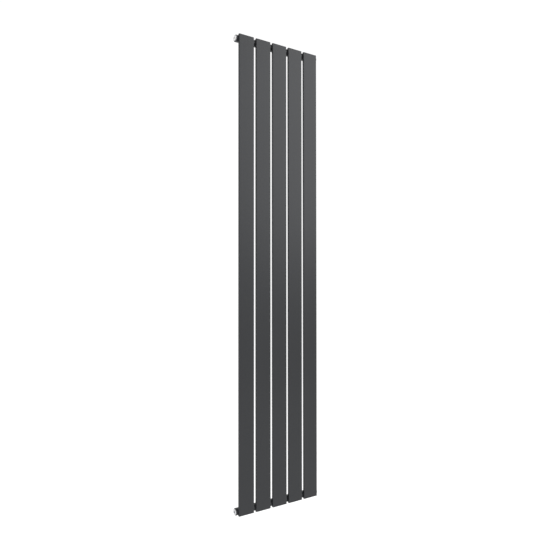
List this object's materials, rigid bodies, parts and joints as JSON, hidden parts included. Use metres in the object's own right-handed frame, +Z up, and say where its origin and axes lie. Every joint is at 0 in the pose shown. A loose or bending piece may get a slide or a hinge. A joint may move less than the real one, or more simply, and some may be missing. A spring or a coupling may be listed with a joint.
{
  "type": "vertical flat-panel radiator",
  "caption": "Tall wall-hung hot-water radiator of flat upright steel panels on round headers, with plugged and open end sockets, air vent and hook-on wall brackets.",
  "frame": {"origin": "on the wall plane, at the middle of the rectangle of the four upper wall screw holes, halfway up the radiator", "axes": "+X to the right seen from the front, +Y towards the wall, +Z up"},
  "size_m": [0.3799, 0.047, 1.8],
  "materials": {
    "powder_coat": "satin anthracite powder coat with a fine texture",
    "nickel_plate": "bright nickel plate",
    "nickel_brass": "thinly nickelled brass",
    "zinc_plate": "bright zinc plate, lightly brushed",
    "nylon": "matte moulded nylon",
    "white_plastic": "white moulded plastic",
    "black_rubber": "black sealing rubber"
  },
  "bodies": {
    "wall_brackets": {"bracket_top_left": "zinc_plate", "bracket_top_right": "zinc_plate", "bracket_bottom_left": "zinc_plate", "bracket_bottom_right": "zinc_plate", "isolator_top_left": "nylon", "isolator_top_right": "nylon", "isolator_bottom_left": "nylon", "isolator_bottom_right": "nylon"},
    "radiator": {"panel_1": "powder_coat", "panel_2": "powder_coat", "panel_3": "powder_coat", "panel_4": "powder_coat", "panel_5": "powder_coat", "top_cap_1": "powder_coat", "top_cap_2": "powder_coat", "top_cap_3": "powder_coat", "top_cap_4": "powder_coat", "top_cap_5": "powder_coat", "bottom_cap_1": "powder_coat", "bottom_cap_2": "powder_coat", "bottom_cap_3": "powder_coat", "bottom_cap_4": "powder_coat", "bottom_cap_5": "powder_coat", "top_header": "powder_coat", "bottom_header": "powder_coat", "socket_top_left": "powder_coat", "socket_top_right": "powder_coat", "socket_bottom_left": "powder_coat", "socket_bottom_right": "powder_coat", "hanger_top_left": "powder_coat", "hanger_top_right": "powder_coat", "hanger_bottom_left": "powder_coat", "hanger_bottom_right": "powder_coat", "vent_plug": "nickel_plate", "vent_plug_seal": "black_rubber", "blank_plug": "nickel_plate", "blank_plug_seal": "black_rubber"},
    "vent_outlet": {"vent_outlet": "white_plastic"},
    "bleed_screw_seal": {"bleed_screw_seal": "black_rubber"},
    "bleed_screw": {"bleed_screw": "nickel_brass"}
  },
  "joints": [
    {"name": "lift_off", "type": "slide", "parent": "wall_brackets", "child": "radiator", "axis": [0, 0, 1], "range_m": [0, 0.02]},
    {"name": "outlet_swivel", "type": "hinge", "parent": "radiator", "child": "vent_outlet", "pos_m": [-0.188, -0.027, 0.88655], "axis": [-1, 0, 0], "continuous": true},
    {"name": "bleed_travel", "type": "slide", "parent": "radiator", "child": "bleed_screw_seal", "axis": [-1, 0, 0], "range_m": [0, 0.002]},
    {"name": "bleed_turn", "type": "hinge", "parent": "bleed_screw_seal", "child": "bleed_screw", "pos_m": [-0.188, -0.027, 0.88655], "axis": [-1, 0, 0], "range_deg": [0, 720]}
  ],
  "couplings": [
    {"joint": "bleed_turn", "follows": "bleed_travel", "rad_per_m": 6283.2}
  ]
}
